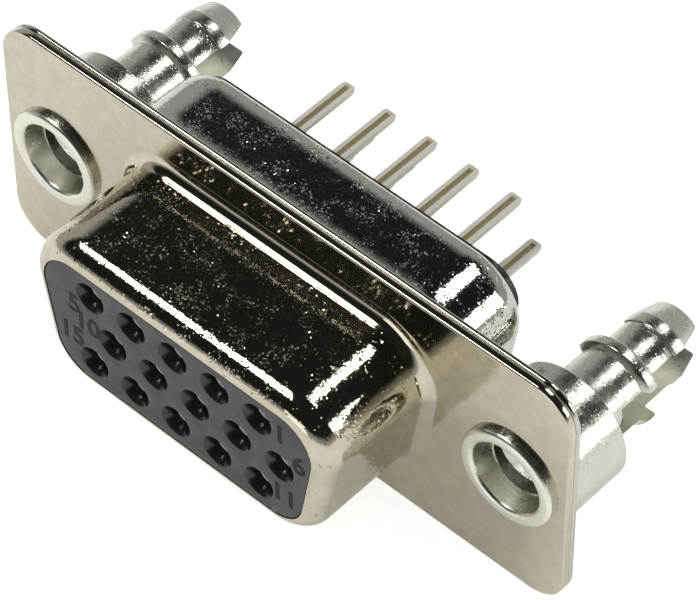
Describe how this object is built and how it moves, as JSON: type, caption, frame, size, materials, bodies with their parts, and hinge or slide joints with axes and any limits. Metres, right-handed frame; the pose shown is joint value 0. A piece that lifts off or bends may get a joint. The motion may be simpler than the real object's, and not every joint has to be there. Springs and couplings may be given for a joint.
{
  "type": "d-sub connector",
  "caption": "Upright board-mount receptacle with a D-shaped metal shroud, three rows of sockets, solder tails and two riveted, slotted board locks with jack-screw threads.",
  "frame": {"origin": "midway between the two jack-screw threads, at the root of the shroud, in the plane of the front face of the flange", "axes": "-Y is the way the mating plug leaves, +Y points to the board, +X runs along the flange towards contact 1, +Z is the wide side of the D"},
  "size_m": [0.0308, 0.016, 0.0126],
  "materials": {
    "front_plating": "bright nickel plating on drawn steel",
    "rear_plating": "bright tin plating on drawn steel",
    "grey_plastic": "moulded, satin",
    "black_plastic": "moulded, satin",
    "contact_plating": "satin tin plating on copper alloy",
    "lock_plating": "bright tin plating on turned metal"
  },
  "bodies": {
    "root": {"front_shell": "front_plating", "rear_shell": "rear_plating", "front_insulator": "grey_plastic", "rear_insulator": "black_plastic", "contact_01": "contact_plating", "contact_02": "contact_plating", "contact_03": "contact_plating", "contact_04": "contact_plating", "contact_05": "contact_plating", "contact_06": "contact_plating", "contact_07": "contact_plating", "contact_08": "contact_plating", "contact_09": "contact_plating", "contact_10": "contact_plating", "contact_11": "contact_plating", "contact_12": "contact_plating", "contact_13": "contact_plating", "contact_14": "contact_plating", "contact_15": "contact_plating", "boardlock_left": "lock_plating", "boardlock_right": "lock_plating"}
  },
  "joints": []
}
